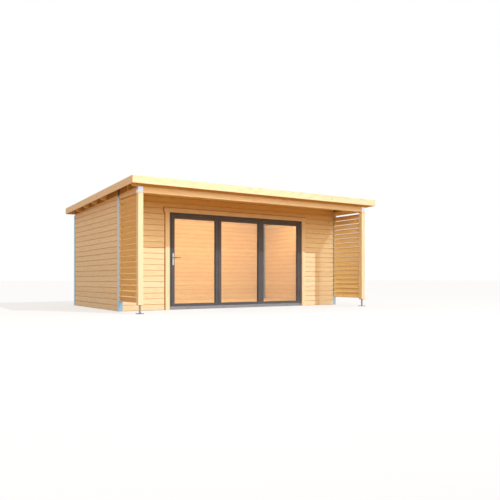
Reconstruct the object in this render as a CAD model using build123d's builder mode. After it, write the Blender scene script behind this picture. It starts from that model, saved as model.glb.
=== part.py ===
"""Garden office pod: a log-board room under a single-pitch roof that runs on over a front canopy.

Millimetres. The origin is on the ground under the centre of the roof, +Z is up and -Y is the front.
"""
from build123d import *
import os
from math import cos, radians, sin

# Plan of the building, over the outer faces of its posts
body_width = 5510
room_depth = 3070
canopy_depth = 1000
side_overhang = 170
front_overhang = 165
back_overhang = 95

# Doorway, and the roof over it: how far the front fascia's top edge is above the doorway's head,
# and how far the roof falls from front to back
opening_width = 3390
opening_height = 1980
roof_over_door = 456
roof_fall = 135
fascia_height = 134
fascia_thickness = 19
fascia_upstand = 12
deck_thickness = 19
membrane_thickness = 3

# Purlins, which lie across the building under the roof boards
purlin_width = 45
purlin_depth = 120
purlin_end_cut = 65
room_purlin_count = 4
room_purlin_spacing = 580
back_purlin_inset = 570
canopy_purlin_inset = 550
filler_thickness = 28

# Log-board walls and the aluminium posts that take their ends
wall_thickness = 44
wall_inset = 6
corner_post_size = 80
corner_post_wall = 3
groove_depth = 20
groove_clearance = 0.5
corner_post_gap = 20

# Floor inside the room
floor_board_thickness = 19
floor_joist_height = 41
floor_joist_width = 45
floor_joist_count = 9

# Canopy posts, their steel feet and the beams they carry
front_post_size = 95
foot_height = 162
foot_plate_size = 120
foot_plate_thickness = 8
foot_stem_diameter = 36
foot_bolt_spacing = 88
foot_bolt_hole = 11
post_plate_size = 85
front_beam_height = 114
side_beam_thickness = 70

# Louvred side screens under the canopy
slat_width = 124
slat_thickness = 18
slat_tilt = 38
slat_pitch = 108
screen_foot = 190
screen_head_gap = 25
screen_stile_depth = 20
screen_stile_width = 52
slat_post_housing = 10
slat_stile_housing = 6

# Timber trim round the doorway and the fixed door frame in it
trim_width = 92
trim_thickness = 30
trim_head_height = 87
trim_head_ear = 25
frame_face = 45
frame_depth = 75

# Door leaves: aluminium stiles and rails round a sealed glass unit
leaf_count = 3
leaf_thickness = 60
leaf_gap = 5
lock_gap = 8
leaf_end_gap = 6
leaf_stile = 70
leaf_top_rail = 66
leaf_bottom_rail = 52
glass_thickness = 24
glass_bite = 12
glass_groove = 15

# Hinges between the leaves
hinge_height = 96
hinge_plate_width = 30
hinge_plate_thickness = 3
knuckle_diameter = 16
hinge_pin_diameter = 10
knuckle_standoff = 1
knuckle_play = 0.5
bearing_clearance = 0.05
hinge_height_shares = (0.12, 0.5, 0.88)

# Lever handles on the pass leaf
spindle_height = 1062
plate_width = 36
plate_height = 240
plate_above_spindle = 86
plate_thickness = 8
plate_corner = 6
lever_length = 145
lever_width = 20
lever_thickness = 14
lever_edge = 4
lever_standoff = 38
lever_neck_diameter = 20
lever_play = 1
spindle_size = 8
spindle_socket_depth = 22
spindle_hole = 16

# Lines on the plan, and the height of the front fascia's top edge
roof_height = opening_height + roof_over_door
roof_width = body_width + 2 * side_overhang
roof_depth = front_overhang + canopy_depth + room_depth + back_overhang
y_roof_front = -roof_depth / 2
y_roof_back = roof_depth / 2
y_canopy = y_roof_front + front_overhang
y_room_front = y_canopy + canopy_depth
y_room_back = y_room_front + room_depth
y_post_back = y_canopy + front_post_size
y_wall_out = y_room_front + wall_inset
y_wall_in = y_wall_out + wall_thickness
y_back_out = y_room_back - wall_inset
y_back_in = y_back_out - wall_thickness
x_body = body_width / 2
x_wall_out = x_body - wall_inset
x_wall_in = x_wall_out - wall_thickness
x_fascia_in = roof_width / 2 - fascia_thickness
groove_bottom = corner_post_size - groove_depth


def deck_under(y):
    """Height of the underside of the roof boards at a place along the building."""
    fall = roof_fall * (y - y_roof_front) / roof_depth
    return roof_height - fascia_upstand - deck_thickness - fall


def purlin_under(y):
    """Height of the underside of the purlins, which is the top of the side walls and beams."""
    return deck_under(y) - purlin_depth


def sloping_strip(y_from, y_to, low, high):
    """Corner points in Y and Z of a strip between two heights that fall with the roof."""
    return [(y_from, low(y_from)), (y_to, low(y_to)), (y_to, high(y_to)), (y_from, high(y_from))]


def save(piece, name):
    """Label a finished piece and write its file."""
    piece.part.label = name
    export_step(piece.part, f"parts/{name}.step")


def on_ground(y):
    """Height of the ground, for walls that stand on it."""
    return 0


os.makedirs("parts", exist_ok=True)

# Floor: joists on the ground and a board floor level with the threshold
floor_top = floor_joist_height + floor_board_thickness
y_frame_in = y_wall_out + frame_depth
corner_reach = corner_post_size - wall_inset - wall_thickness
joist_step = (2 * (x_wall_in - corner_reach) - floor_joist_width) / (floor_joist_count - 1)

with BuildPart() as floor_joists:
    with BuildSketch():
        with Locations((0, (y_frame_in + y_back_in) / 2)):
            with GridLocations(joist_step, 0, floor_joist_count, 1):
                Rectangle(floor_joist_width, y_back_in - y_frame_in)
    extrude(amount=floor_joist_height)
save(floor_joists, "floor_joists")

with BuildPart() as floor_boards:
    with BuildSketch(Plane.XY.offset(floor_joist_height)):
        with Locations((0, (y_wall_in + y_back_in) / 2)):
            Rectangle(2 * x_wall_in, y_back_in - y_wall_in)
        with Locations((0, (y_wall_in + y_frame_in) / 2)):
            Rectangle(opening_width, y_frame_in - y_wall_in, mode=Mode.SUBTRACT)
        with GridLocations(2 * x_wall_in - corner_reach, 0, 2, 1):
            with Locations((0, y_wall_in + corner_reach / 2), (0, y_back_in - corner_reach / 2)):
                Rectangle(corner_reach, corner_reach, mode=Mode.SUBTRACT)
    extrude(amount=floor_board_thickness)
save(floor_boards, "floor_boards")

# Side walls, cut along the top to the fall of the roof so that the purlins bear on them
with BuildPart() as left_wall:
    with BuildSketch(Plane.YZ.offset(-x_wall_out)):
        with BuildLine():
            Polyline(
                *sloping_strip(
                    y_room_front + groove_bottom, y_room_back - groove_bottom, on_ground, purlin_under
                ),
                close=True,
            )
        make_face()
    extrude(amount=wall_thickness)
save(left_wall, "left_wall")

with BuildPart() as right_wall:
    mirror(left_wall.part, about=Plane.YZ)
save(right_wall, "right_wall")

# Back wall and the front wall round the doorway, which run up to the roof boards
x_wall_end = x_body - groove_bottom

with BuildPart() as back_wall:
    with BuildSketch(Plane.YZ.offset(-x_wall_end)):
        with BuildLine():
            Polyline(*sloping_strip(y_back_in, y_back_out, on_ground, deck_under), close=True)
        make_face()
    extrude(amount=2 * x_wall_end)
save(back_wall, "back_wall")

with BuildPart() as front_wall_left:
    with BuildSketch(Plane.YZ.offset(-x_wall_end)):
        with BuildLine():
            Polyline(*sloping_strip(y_wall_out, y_wall_in, on_ground, deck_under), close=True)
        make_face()
    extrude(amount=x_wall_end - opening_width / 2)
save(front_wall_left, "front_wall_left")

with BuildPart() as front_wall_right:
    mirror(front_wall_left.part, about=Plane.YZ)
save(front_wall_right, "front_wall_right")

with BuildPart() as front_wall_over_door:
    with BuildSketch(Plane.YZ.offset(-opening_width / 2)):
        with BuildLine():
            Polyline(
                *sloping_strip(y_wall_out, y_wall_in, lambda y: opening_height, deck_under),
                close=True,
            )
        make_face()
    extrude(amount=opening_width)
save(front_wall_over_door, "front_wall_over_door")


# Corner posts: aluminium extrusions with a groove on two sides for the ends of the boards
def corner_post_profile(y_outer, inward):
    """Draw the left post's section; inward is 1 for a front corner and -1 for a back one."""
    x_outer = -x_body
    middle = corner_post_size / 2
    groove_width = wall_thickness + 2 * groove_clearance
    groove_centre = wall_inset + wall_thickness / 2
    groove_middle = groove_bottom + groove_depth / 2
    core = groove_bottom - 2 * corner_post_wall
    chamber = groove_depth - 2 * corner_post_wall
    with Locations((x_outer + middle, y_outer + inward * middle)):
        Rectangle(corner_post_size, corner_post_size)
    with Locations((x_outer + groove_middle, y_outer + inward * groove_centre)):
        Rectangle(groove_depth, groove_width, mode=Mode.SUBTRACT)
    with Locations((x_outer + groove_centre, y_outer + inward * groove_middle)):
        Rectangle(groove_width, groove_depth, mode=Mode.SUBTRACT)
    with Locations((x_outer + groove_bottom / 2, y_outer + inward * groove_bottom / 2)):
        Rectangle(core, core, mode=Mode.SUBTRACT)
    with Locations((x_outer + groove_middle, y_outer + inward * groove_middle)):
        Rectangle(chamber, chamber, mode=Mode.SUBTRACT)


with BuildPart() as front_corner_posts:
    with BuildSketch():
        corner_post_profile(y_room_front, 1)
        mirror(about=Plane.YZ)
    extrude(amount=purlin_under(y_room_front + corner_post_size) - corner_post_gap)
save(front_corner_posts, "front_corner_posts")

with BuildPart() as back_corner_posts:
    with BuildSketch():
        corner_post_profile(y_room_back, -1)
        mirror(about=Plane.YZ)
    extrude(amount=purlin_under(y_room_back) - corner_post_gap)
save(back_corner_posts, "back_corner_posts")

# Canopy: square timber posts on steel feet, with metal heads that join the beams
x_post = x_body - front_post_size / 2
y_post = y_canopy + front_post_size / 2
beam_under = purlin_under(y_canopy) - front_beam_height

with BuildPart() as post_feet:
    with BuildSketch():
        with Locations((-x_post, y_post), (x_post, y_post)):
            Rectangle(foot_plate_size, foot_plate_size)
            with GridLocations(foot_bolt_spacing, foot_bolt_spacing, 2, 2):
                Circle(foot_bolt_hole / 2, mode=Mode.SUBTRACT)
    extrude(amount=foot_plate_thickness)
    with BuildSketch(Plane.XY.offset(foot_plate_thickness)):
        with Locations((-x_post, y_post), (x_post, y_post)):
            Circle(foot_stem_diameter / 2)
    extrude(amount=foot_height - 2 * foot_plate_thickness)
    with BuildSketch(Plane.XY.offset(foot_height - foot_plate_thickness)):
        with Locations((-x_post, y_post), (x_post, y_post)):
            Rectangle(post_plate_size, post_plate_size)
    extrude(amount=foot_plate_thickness)
save(post_feet, "post_feet")

with BuildPart() as post_heads:
    with BuildSketch(Plane.XY.offset(beam_under)):
        with Locations((-x_post, y_post), (x_post, y_post)):
            Rectangle(front_post_size, front_post_size)
    extrude(amount=purlin_under(y_post_back) - beam_under)
save(post_heads, "post_heads")

x_post_in = x_body - front_post_size

with BuildPart() as front_beam:
    with BuildSketch(Plane.YZ.offset(-x_post_in)):
        with BuildLine():
            Polyline(*sloping_strip(y_canopy, y_post_back, lambda y: beam_under, purlin_under), close=True)
        make_face()
    extrude(amount=2 * x_post_in)
save(front_beam, "front_beam")

x_side_beam_out = x_post + side_beam_thickness / 2

with BuildPart() as side_beams:
    with BuildSketch(Plane.YZ.offset(-x_side_beam_out)):
        with BuildLine():
            Polyline(
                *sloping_strip(y_post_back, y_room_front, lambda y: beam_under, purlin_under),
                close=True,
            )
        make_face()
    extrude(amount=side_beam_thickness)
    mirror(about=Plane.YZ)
save(side_beams, "side_beams")

# Louvred screens: tilted slats, outer edge high, let into the front post and a stile on the corner post
y_stile_front = y_room_front - screen_stile_depth
y_slat_back = y_stile_front + slat_stile_housing
y_slat_front = y_post_back - slat_post_housing
slat_rise = slat_width * cos(radians(slat_tilt)) + slat_thickness * sin(radians(slat_tilt))
screen_height = beam_under - screen_head_gap - screen_foot
slat_count = int((screen_height - slat_rise) / slat_pitch) + 1
slat_places = [(-x_post, screen_foot + slat_rise / 2 + i * slat_pitch) for i in range(slat_count)]

with BuildPart() as left_screen_slats:
    with BuildSketch(Plane.XZ.offset(-y_slat_back)):
        with Locations(*slat_places):
            Rectangle(slat_thickness, slat_width, rotation=slat_tilt)
    extrude(amount=y_slat_back - y_slat_front)
save(left_screen_slats, "left_screen_slats")

with BuildPart() as right_screen_slats:
    mirror(left_screen_slats.part, about=Plane.YZ)
save(right_screen_slats, "right_screen_slats")

with BuildPart() as screen_stiles:
    with BuildSketch(Plane.XY.offset(screen_foot)):
        with Locations((screen_stile_width / 2 - x_body, y_room_front - screen_stile_depth / 2)):
            Rectangle(screen_stile_width, screen_stile_depth)
    extrude(amount=beam_under - screen_foot)
    add(left_screen_slats.part, mode=Mode.SUBTRACT)
    mirror(about=Plane.YZ)
save(screen_stiles, "screen_stiles")

with BuildPart() as front_posts:
    with BuildSketch(Plane.XY.offset(foot_height)):
        with Locations((-x_post, y_post)):
            Rectangle(front_post_size, front_post_size)
    extrude(amount=beam_under - foot_height)
    add(left_screen_slats.part, mode=Mode.SUBTRACT)
    mirror(about=Plane.YZ)
save(front_posts, "front_posts")

# Purlins: the room's and the front one run out to the side fascias with their lower ends cut away
room_purlins = [y_room_back - back_purlin_inset - i * room_purlin_spacing for i in range(room_purlin_count)]
canopy_purlin = y_canopy + canopy_purlin_inset
purlin_rows = sorted([y_post, canopy_purlin] + room_purlins)

with BuildPart() as purlins:
    for y in room_purlins + [y_post]:
        with BuildSketch(Plane.YZ.offset(-x_fascia_in)):
            with BuildLine():
                Polyline(
                    *sloping_strip(y - purlin_width / 2, y + purlin_width / 2, purlin_under, deck_under),
                    close=True,
                )
            make_face()
        extrude(amount=2 * x_fascia_in)
    end_faces = purlins.faces().filter_by(Axis.X)
    chamfer([face.edges().sort_by(Axis.Z)[0] for face in end_faces], length=purlin_end_cut)
    with BuildSketch(Plane.YZ.offset(-x_side_beam_out)):
        with BuildLine():
            Polyline(
                *sloping_strip(
                    canopy_purlin - purlin_width / 2,
                    canopy_purlin + purlin_width / 2,
                    purlin_under,
                    deck_under,
                ),
                close=True,
            )
        make_face()
    extrude(amount=2 * x_side_beam_out)
save(purlins, "purlins")

# Filler boards that close the eaves between the purlins, on the side walls and side beams, with the
# front corner posts left open at the top
x_filler_out = x_wall_out - (wall_thickness - filler_thickness) / 2
bay_starts = [y + purlin_width / 2 for y in purlin_rows] + [y_room_front + corner_post_size]
bay_ends = [y - purlin_width / 2 for y in purlin_rows[1:]] + [y_back_out, y_room_front]

with BuildPart() as eaves_fillers:
    for bay_start, bay_end in zip(sorted(bay_starts), sorted(bay_ends)):
        with BuildSketch(Plane.YZ.offset(-x_filler_out)):
            with BuildLine():
                Polyline(*sloping_strip(bay_start, bay_end, purlin_under, deck_under), close=True)
            make_face()
        extrude(amount=filler_thickness)
    mirror(about=Plane.YZ)
save(eaves_fillers, "eaves_fillers")

# Roof: boards over the purlins, a membrane on them and fascia boards round the edge
y_deck_front = y_roof_front + fascia_thickness
y_deck_back = y_roof_back - fascia_thickness


def deck_top(y):
    """Height of the upper face of the roof boards."""
    return deck_under(y) + deck_thickness


def membrane_top(y):
    """Height of the upper face of the roof membrane."""
    return deck_top(y) + membrane_thickness


def fascia_top(y):
    """Height of the upper edge of the fascia boards."""
    return deck_top(y) + fascia_upstand


def fascia_under(y):
    """Height of the lower edge of the fascia boards."""
    return fascia_top(y) - fascia_height


with BuildPart() as roof_boards:
    with BuildSketch(Plane.YZ.offset(-x_fascia_in)):
        with BuildLine():
            Polyline(*sloping_strip(y_deck_front, y_deck_back, deck_under, deck_top), close=True)
        make_face()
    extrude(amount=2 * x_fascia_in)
save(roof_boards, "roof_boards")

with BuildPart() as roof_membrane:
    with BuildSketch(Plane.YZ.offset(-x_fascia_in)):
        with BuildLine():
            Polyline(*sloping_strip(y_deck_front, y_deck_back, deck_top, membrane_top), close=True)
        make_face()
    extrude(amount=2 * x_fascia_in)
save(roof_membrane, "roof_membrane")

with BuildPart() as left_fascia:
    with BuildSketch(Plane.YZ.offset(-roof_width / 2)):
        with BuildLine():
            Polyline(*sloping_strip(y_deck_front, y_deck_back, fascia_under, fascia_top), close=True)
        make_face()
    extrude(amount=fascia_thickness)
save(left_fascia, "left_fascia")

with BuildPart() as right_fascia:
    mirror(left_fascia.part, about=Plane.YZ)
save(right_fascia, "right_fascia")

with BuildPart() as front_fascia:
    with BuildSketch(Plane.YZ.offset(-roof_width / 2)):
        with BuildLine():
            Polyline(*sloping_strip(y_roof_front, y_deck_front, fascia_under, fascia_top), close=True)
        make_face()
    extrude(amount=roof_width)
save(front_fascia, "front_fascia")

with BuildPart() as back_fascia:
    with BuildSketch(Plane.YZ.offset(-roof_width / 2)):
        with BuildLine():
            Polyline(*sloping_strip(y_deck_back, y_roof_back, fascia_under, fascia_top), close=True)
        make_face()
    extrude(amount=roof_width)
save(back_fascia, "back_fascia")

# Timber trim round the doorway, planted on the face of the front wall
with BuildPart() as door_trim_sides:
    with BuildSketch(Plane.XZ.offset(-y_wall_out)):
        with GridLocations(opening_width + trim_width, 0, 2, 1):
            Rectangle(trim_width, opening_height, align=(Align.CENTER, Align.MIN))
    extrude(amount=trim_thickness)
save(door_trim_sides, "door_trim_sides")

with BuildPart() as door_trim_head:
    with BuildSketch(Plane.XZ.offset(-y_wall_out)):
        with Locations((0, opening_height)):
            Rectangle(
                opening_width + 2 * (trim_width + trim_head_ear),
                trim_head_height,
                align=(Align.CENTER, Align.MIN),
            )
    extrude(amount=trim_thickness)
save(door_trim_head, "door_trim_head")

# Fixed door frame: two jambs between a threshold and a head, flush with the wall outside
frame_head_under = opening_height - frame_face
clear_width = opening_width - 2 * frame_face

with BuildPart() as door_threshold:
    with BuildSketch(Plane.XZ.offset(-y_wall_out)):
        Rectangle(opening_width, floor_top, align=(Align.CENTER, Align.MIN))
    extrude(amount=-frame_depth)
save(door_threshold, "door_threshold")

with BuildPart() as door_frame_jambs:
    with BuildSketch(Plane.XZ.offset(-y_wall_out)):
        with Locations((0, floor_top)):
            with GridLocations(opening_width - frame_face, 0, 2, 1):
                Rectangle(frame_face, frame_head_under - floor_top, align=(Align.CENTER, Align.MIN))
    extrude(amount=-frame_depth)
save(door_frame_jambs, "door_frame_jambs")

with BuildPart() as door_frame_head:
    with BuildSketch(Plane.XZ.offset(-y_wall_out)):
        with Locations((0, frame_head_under)):
            Rectangle(opening_width, frame_face, align=(Align.CENTER, Align.MIN))
    extrude(amount=-frame_depth)
save(door_frame_head, "door_frame_head")

# Door leaves, from the lock side on the left: the pass leaf first, then the two that only fold
leaf_width = (clear_width - lock_gap - leaf_count * leaf_gap) / leaf_count
leaf_foot = floor_top + leaf_end_gap
leaf_height = frame_head_under - leaf_end_gap - leaf_foot
leaf_lefts = [-clear_width / 2 + lock_gap + i * (leaf_width + leaf_gap) for i in range(leaf_count)]
y_leaf_in = y_wall_out + leaf_thickness
pane_width = leaf_width - 2 * leaf_stile
pane_height = leaf_height - leaf_top_rail - leaf_bottom_rail
pane_foot = leaf_foot + leaf_bottom_rail
y_glass_out = y_wall_out + (leaf_thickness - glass_thickness) / 2


leaf_face = Plane.XZ.offset(-y_wall_out)
glass_face = Plane.XZ.offset(-y_glass_out)


def draw_stiles(left):
    """Draw the two upright bars of the leaf whose left edge is given."""
    with Locations((left + leaf_width / 2, leaf_foot)):
        with GridLocations(leaf_width - leaf_stile, 0, 2, 1):
            Rectangle(leaf_stile, leaf_height, align=(Align.CENTER, Align.MIN))


def draw_rails(left):
    """Draw the bottom and top bars of a leaf, between its stiles."""
    with Locations((left + leaf_width / 2, leaf_foot)):
        Rectangle(pane_width, leaf_bottom_rail, align=(Align.CENTER, Align.MIN))
    with Locations((left + leaf_width / 2, leaf_foot + leaf_height)):
        Rectangle(pane_width, leaf_top_rail, align=(Align.CENTER, Align.MAX))


def draw_pane(left, margin):
    """Draw the see-through part of a leaf, grown by a margin on every side."""
    with Locations((left + leaf_width / 2, pane_foot + pane_height / 2)):
        Rectangle(pane_width + 2 * margin, pane_height + 2 * margin)


x_spindle = leaf_lefts[0] + leaf_stile / 2

with BuildPart() as pass_leaf_stiles:
    with BuildSketch(leaf_face):
        draw_stiles(leaf_lefts[0])
        with Locations((x_spindle, spindle_height)):
            Circle(spindle_hole / 2, mode=Mode.SUBTRACT)
    extrude(amount=-leaf_thickness)
    with BuildSketch(glass_face):
        draw_pane(leaf_lefts[0], glass_groove)
    extrude(amount=-glass_thickness, mode=Mode.SUBTRACT)
save(pass_leaf_stiles, "pass_leaf_stiles")

with BuildPart() as pass_leaf_rails:
    with BuildSketch(leaf_face):
        draw_rails(leaf_lefts[0])
    extrude(amount=-leaf_thickness)
    with BuildSketch(glass_face):
        draw_pane(leaf_lefts[0], glass_groove)
    extrude(amount=-glass_thickness, mode=Mode.SUBTRACT)
save(pass_leaf_rails, "pass_leaf_rails")

with BuildPart() as pass_leaf_glass:
    with BuildSketch(glass_face):
        draw_pane(leaf_lefts[0], glass_bite)
    extrude(amount=-glass_thickness)
save(pass_leaf_glass, "pass_leaf_glass")

with BuildPart() as fixed_leaf_stiles:
    with BuildSketch(leaf_face):
        for leaf_left in leaf_lefts[1:]:
            draw_stiles(leaf_left)
    extrude(amount=-leaf_thickness)
    with BuildSketch(glass_face):
        for leaf_left in leaf_lefts[1:]:
            draw_pane(leaf_left, glass_groove)
    extrude(amount=-glass_thickness, mode=Mode.SUBTRACT)
save(fixed_leaf_stiles, "fixed_leaf_stiles")

with BuildPart() as fixed_leaf_rails:
    with BuildSketch(leaf_face):
        for leaf_left in leaf_lefts[1:]:
            draw_rails(leaf_left)
    extrude(amount=-leaf_thickness)
    with BuildSketch(glass_face):
        for leaf_left in leaf_lefts[1:]:
            draw_pane(leaf_left, glass_groove)
    extrude(amount=-glass_thickness, mode=Mode.SUBTRACT)
save(fixed_leaf_rails, "fixed_leaf_rails")

with BuildPart() as fixed_leaf_glass:
    with BuildSketch(glass_face):
        for leaf_left in leaf_lefts[1:]:
            draw_pane(leaf_left, glass_bite)
    extrude(amount=-glass_thickness)
save(fixed_leaf_glass, "fixed_leaf_glass")

# Hinges: a plate on each leaf and knuckles on a pin that stands just clear of the leaves' faces
knuckle_reach = knuckle_diameter / 2 + knuckle_standoff
knuckle_height = hinge_height / 3
hinge_feet = [leaf_foot + share * leaf_height - hinge_height / 2 for share in hinge_height_shares]
x_pass_hinge = leaf_lefts[1] - leaf_gap / 2
x_inner_hinge = leaf_lefts[2] - leaf_gap / 2
x_jamb_hinge = clear_width / 2 - leaf_gap / 2
y_hinge_out = y_wall_out - knuckle_reach
y_hinge_in = y_leaf_in + knuckle_reach


def draw_hinge_plate(x, y, side, outward):
    """Draw a hinge plate on the face of a leaf, to one side of the axis at x, y."""
    plate_centre = x + side * (knuckle_reach + hinge_plate_width / 2)
    with Locations((plate_centre, y - outward * (knuckle_reach - hinge_plate_thickness / 2))):
        Rectangle(hinge_plate_width, hinge_plate_thickness)


def draw_knuckle(x, y, side, outward):
    """Draw a knuckle round the axis at x, y and the tab that joins it to its plate."""
    with Locations((x + side * knuckle_reach / 2, y - outward * (knuckle_reach - hinge_plate_thickness / 2))):
        Rectangle(knuckle_reach, hinge_plate_thickness)
    with Locations((x, y)):
        Circle(knuckle_diameter / 2)


with BuildPart() as pass_leaf_hinges:
    for foot in hinge_feet:
        with BuildSketch(Plane.XY.offset(foot)):
            draw_hinge_plate(x_pass_hinge, y_hinge_out, -1, -1)
        extrude(amount=hinge_height)
        with BuildSketch(Plane.XY.offset(foot + knuckle_height + knuckle_play)):
            draw_knuckle(x_pass_hinge, y_hinge_out, -1, -1)
            with Locations((x_pass_hinge, y_hinge_out)):
                Circle(hinge_pin_diameter / 2 + bearing_clearance, mode=Mode.SUBTRACT)
        extrude(amount=knuckle_height - 2 * knuckle_play)
save(pass_leaf_hinges, "pass_leaf_hinges")

with BuildPart() as middle_leaf_hinges:
    for foot in hinge_feet:
        with BuildSketch(Plane.XY.offset(foot)):
            draw_hinge_plate(x_pass_hinge, y_hinge_out, 1, -1)
            with Locations((x_pass_hinge, y_hinge_out)):
                Circle(hinge_pin_diameter / 2)
        extrude(amount=hinge_height)
        for knuckle_foot in (foot, foot + 2 * knuckle_height):
            with BuildSketch(Plane.XY.offset(knuckle_foot)):
                draw_knuckle(x_pass_hinge, y_hinge_out, 1, -1)
            extrude(amount=knuckle_height)
save(middle_leaf_hinges, "middle_leaf_hinges")

with BuildPart() as folding_hinges:
    for foot in hinge_feet:
        with BuildSketch(Plane.XY.offset(foot)):
            for side in (-1, 1):
                draw_hinge_plate(x_inner_hinge, y_hinge_in, side, 1)
                draw_knuckle(x_inner_hinge, y_hinge_in, side, 1)
                draw_hinge_plate(x_jamb_hinge, y_hinge_out, side, -1)
                draw_knuckle(x_jamb_hinge, y_hinge_out, side, -1)
        extrude(amount=hinge_height)
save(folding_hinges, "folding_hinges")

# Lever handles: a long plate on each face of the pass leaf's lock stile, and levers on one spindle
plate_centre_height = spindle_height + plate_above_spindle - plate_height / 2
grip_run = lever_length - lever_width / 2
lever_sides = ((y_wall_out, -1), (y_leaf_in, 1))

with BuildPart() as handle_plates:
    for y_face, outward in lever_sides:
        with BuildSketch(Plane.XZ.offset(-y_face)):
            with Locations((x_spindle, plate_centre_height)):
                RectangleRounded(plate_width, plate_height, plate_corner)
            with Locations((x_spindle, spindle_height)):
                Circle(lever_neck_diameter / 2 + bearing_clearance, mode=Mode.SUBTRACT)
        extrude(amount=-outward * plate_thickness)
save(handle_plates, "handle_plates")

with BuildPart() as lever_handles:
    for y_face, outward in lever_sides:
        y_neck = y_face + outward * lever_play
        y_grip = y_face + outward * (plate_thickness + lever_standoff)
        with BuildSketch(Plane.XZ.offset(-y_neck)):
            with Locations((x_spindle, spindle_height)):
                Circle(lever_neck_diameter / 2)
        extrude(amount=y_neck - y_grip)
        with BuildSketch(Plane.XZ.offset(-y_grip)):
            with Locations((x_spindle + grip_run / 2, spindle_height)):
                SlotCenterToCenter(grip_run, lever_width)
        extrude(amount=-outward * lever_thickness)
        with BuildSketch(Plane.XZ.offset(-y_neck)):
            with Locations((x_spindle, spindle_height)):
                Rectangle(spindle_size, spindle_size)
        extrude(amount=-outward * spindle_socket_depth, mode=Mode.SUBTRACT)
    grip_faces = lever_handles.faces().sort_by(Axis.Y)
    fillet(grip_faces[0].edges() + grip_faces[-1].edges(), radius=lever_edge)
save(lever_handles, "lever_handles")

with BuildPart() as lever_spindle:
    spindle_reach = spindle_socket_depth + lever_play
    with BuildSketch(Plane.XZ.offset(spindle_reach - y_wall_out)):
        with Locations((x_spindle, spindle_height)):
            Rectangle(spindle_size, spindle_size)
    extrude(amount=-(leaf_thickness + 2 * spindle_reach))
save(lever_spindle, "lever_spindle")
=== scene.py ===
import math

import bmesh
import bpy
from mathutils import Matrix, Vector


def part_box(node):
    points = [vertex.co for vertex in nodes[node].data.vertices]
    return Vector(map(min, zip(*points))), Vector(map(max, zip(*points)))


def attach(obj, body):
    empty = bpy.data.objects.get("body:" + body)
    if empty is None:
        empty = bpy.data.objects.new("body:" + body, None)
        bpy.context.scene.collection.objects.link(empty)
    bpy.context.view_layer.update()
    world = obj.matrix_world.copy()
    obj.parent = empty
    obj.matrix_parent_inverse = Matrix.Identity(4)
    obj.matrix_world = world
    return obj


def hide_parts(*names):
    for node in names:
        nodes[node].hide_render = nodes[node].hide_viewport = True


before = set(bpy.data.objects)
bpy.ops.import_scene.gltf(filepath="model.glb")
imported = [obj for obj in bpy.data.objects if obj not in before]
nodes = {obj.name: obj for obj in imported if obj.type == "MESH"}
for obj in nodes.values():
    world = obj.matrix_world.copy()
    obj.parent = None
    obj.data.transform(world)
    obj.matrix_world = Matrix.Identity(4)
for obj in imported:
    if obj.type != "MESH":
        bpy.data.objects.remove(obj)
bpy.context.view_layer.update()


# Camera: it stands in front of the left corner, 0.6 m above the ground, and is held level, so that posts
# stay upright in the picture. Its lens is shifted up a little, to frame the roof.
camera_place = (-6.514, -11.469, 0.625)
camera_level = 90
camera_turn = -32.87
camera_lens = 40.56
camera_lift = 0.058

camera_data = bpy.data.cameras.new("camera")
camera_data.lens = camera_lens
camera_data.shift_y = camera_lift
camera = bpy.data.objects.new("camera", camera_data)
camera.location = camera_place
camera.rotation_euler = (math.radians(camera_level), 0, math.radians(camera_turn))
bpy.context.scene.collection.objects.link(camera)
bpy.context.scene.camera = camera
bpy.context.scene.view_settings.view_transform = "Standard"


# Studio: a pale matt floor under an even, slightly warm sky, with a cool lamp high on the front right, so
# that the roof's edge throws its shadow across the front wall, and a wide soft lamp in front. Sky and
# floor are near white where the camera, metal or glass shows them.
sky_colour = "#FFF5EC"
sky_strength = 0.80
white = "#FFFFFF"
lamp_colour = "#E6F1FF"
lamp_strength = 2.0
lamp_travel = Vector((-0.627, 1.14, -1.034))
lamp_angle = 0.3
floor_size = 400
floor_drop = 0.002
floor_seen = "#EEECEA"
floor_bounce = "#B5783C"
floor_glow = 0.62
fill_colour = "#FFE9CF"
fill_power = 370
fill_size = (7, 5)
fill_place = Vector((-2.0, -9.5, 4.8))
fill_aim = Vector((0, -1.0, 1.2))


def linear(code):
    """The linear colour of an sRGB hex value."""
    parts = [int(code[i:i + 2], 16) / 255 for i in (1, 3, 5)]
    return [c / 12.92 if c <= 0.04045 else ((c + 0.055) / 1.055) ** 2.4 for c in parts] + [1]


def add_node(tree, kind, values=None, **settings):
    """A node with its settings. Each value goes to a socket: a link where it comes from another node.
    A Mix node of colours has its share in socket 0, its colours in 6 and 7, and its result in output 2."""
    made = tree.nodes.new(kind)
    for key, value in settings.items():
        setattr(made, key, value)
    for key, value in (values or {}).items():
        if isinstance(value, bpy.types.NodeSocket):
            tree.links.new(value, made.inputs[key])
        else:
            made.inputs[key].default_value = value
    return made


def straight_view(tree):
    """1 where the camera sees a surface directly, in a mirror or through glass, and 0 where the surface
    only sheds light."""
    path = add_node(tree, "ShaderNodeLightPath")
    seen = path.outputs["Is Camera Ray"]
    for way in ("Is Glossy Ray", "Is Transmission Ray"):
        either = add_node(tree, "ShaderNodeMath", {0: seen, 1: path.outputs[way]}, operation="MAXIMUM")
        seen = either.outputs[0]
    return seen


sky = bpy.data.worlds.new("studio_sky")
bpy.context.scene.world = sky
sky.use_nodes = True
tree = sky.node_tree
tree.nodes.clear()
skylight = add_node(tree, "ShaderNodeBackground", {"Color": linear(sky_colour), "Strength": sky_strength})
backdrop = add_node(tree, "ShaderNodeBackground", {"Color": linear(white), "Strength": 1})
sky_sides = {0: straight_view(tree), 1: skylight.outputs[0], 2: backdrop.outputs[0]}
both = add_node(tree, "ShaderNodeMixShader", sky_sides)
add_node(tree, "ShaderNodeOutputWorld", {"Surface": both.outputs[0]})

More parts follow.
